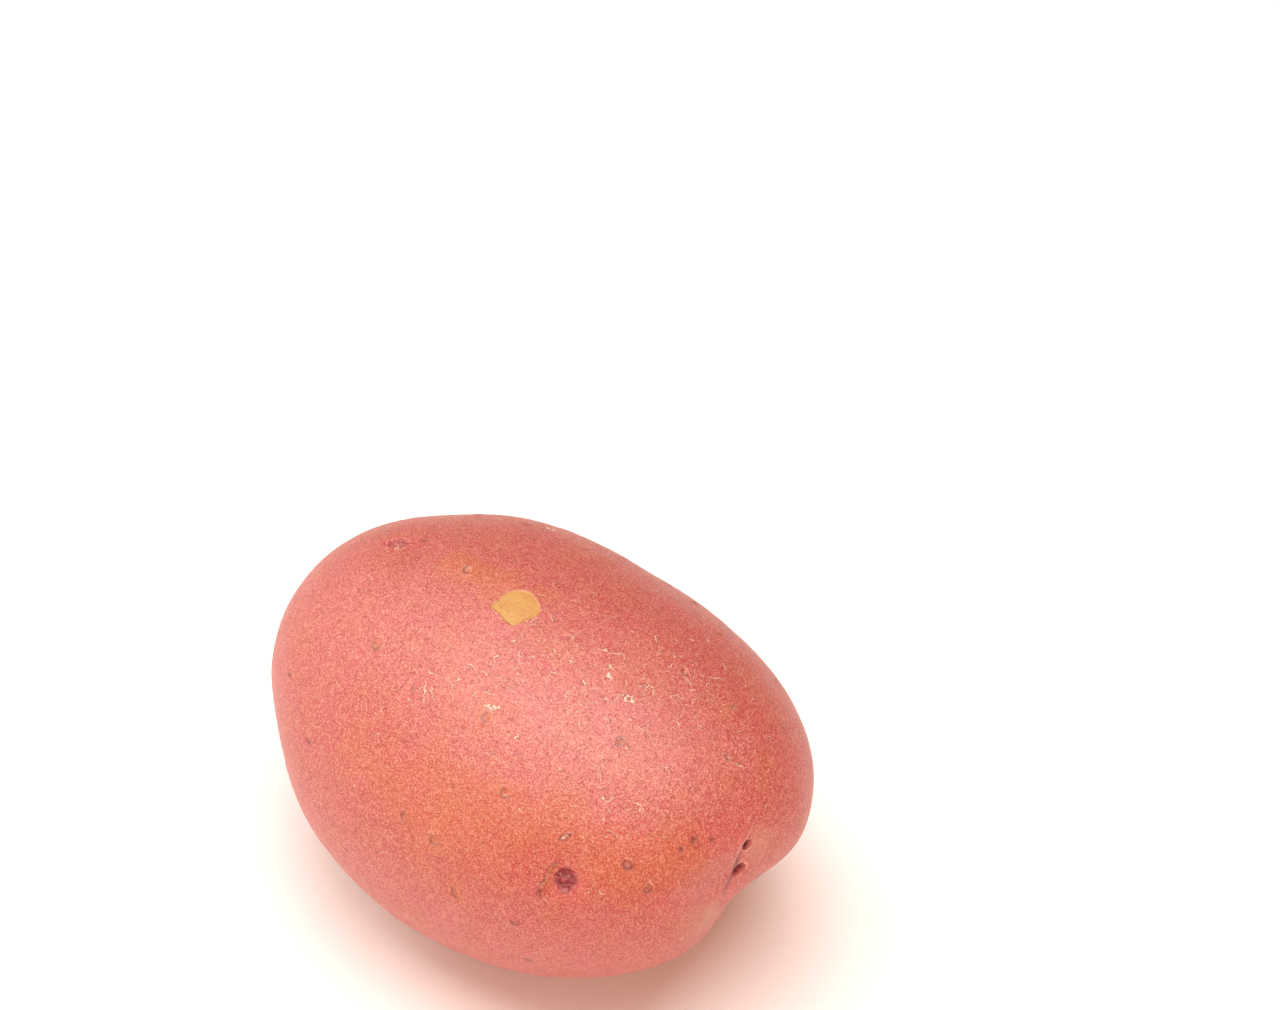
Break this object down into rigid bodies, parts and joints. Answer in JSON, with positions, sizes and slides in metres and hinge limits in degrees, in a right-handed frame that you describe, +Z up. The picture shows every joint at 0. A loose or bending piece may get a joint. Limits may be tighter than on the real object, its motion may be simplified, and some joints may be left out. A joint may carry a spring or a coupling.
{
  "type": "potato",
  "caption": "Whole red-skinned potato lying on its side: a plump oval tuber with shallow eyes and a fold beside the rose end.",
  "frame": {"origin": "bottom centre of the bounding box, level with the flat spot the potato rests on", "axes": "+X along the potato to the rose end, where the eyes crowd together; -X to the heel, where the stolon was; +Z up"},
  "size_m": [0.0872, 0.066, 0.0576],
  "materials": {
    "skin": "matt, faintly waxy red potato skin with fine netting and small corky pores"
  },
  "bodies": {
    "root": {"potato": "skin"}
  },
  "joints": []
}
